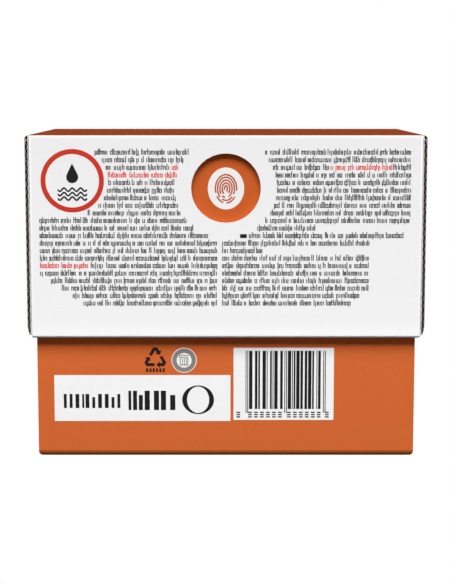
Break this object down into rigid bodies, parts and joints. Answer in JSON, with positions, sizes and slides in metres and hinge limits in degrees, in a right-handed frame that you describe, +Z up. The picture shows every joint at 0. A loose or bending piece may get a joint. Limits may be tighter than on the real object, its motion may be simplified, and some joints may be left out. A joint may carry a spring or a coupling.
{
  "type": "laundry pod pack",
  "caption": "Corrugated board carton of sealed laundry pods with a lift-off lid, finger holes in its skirts and sprung press flaps behind them.",
  "frame": {"origin": "middle of the underside, on the surface the carton stands on", "axes": "+Z up, +X across the wide face, the pictured face looks towards -Y"},
  "size_m": [0.154, 0.096, 0.1261],
  "materials": {
    "base_board": "printed matt liner",
    "lid_board": "printed matt liner",
    "flap_board": "printed matt liner",
    "pod_film": "clear film over coloured gel"
  },
  "bodies": {
    "base": {"base": "base_board", "pod_01": "pod_film", "pod_02": "pod_film", "pod_03": "pod_film", "pod_04": "pod_film", "pod_05": "pod_film", "pod_06": "pod_film", "pod_07": "pod_film", "pod_08": "pod_film", "pod_09": "pod_film", "pod_10": "pod_film", "pod_11": "pod_film", "pod_12": "pod_film", "pod_13": "pod_film", "pod_14": "pod_film", "pod_15": "pod_film"},
    "lid": {"lid": "lid_board"},
    "flap_front": {"press_flap_front": "flap_board"},
    "flap_back": {"press_flap_back": "flap_board"}
  },
  "joints": [
    {"name": "lid_lift", "type": "slide", "parent": "base", "child": "lid", "axis": [0, 0, 1], "range_m": [0, 0.09]},
    {"name": "flap_front_press", "type": "hinge", "parent": "base", "child": "flap_front", "pos_m": [0, -0.0441, 0.1214], "axis": [1, 0, 0], "range_deg": [0, 12], "stiffness_Nm_per_rad": 0.02},
    {"name": "flap_back_press", "type": "hinge", "parent": "base", "child": "flap_back", "pos_m": [0, 0.0441, 0.1214], "axis": [-1, 0, 0], "range_deg": [0, 12], "stiffness_Nm_per_rad": 0.02}
  ]
}
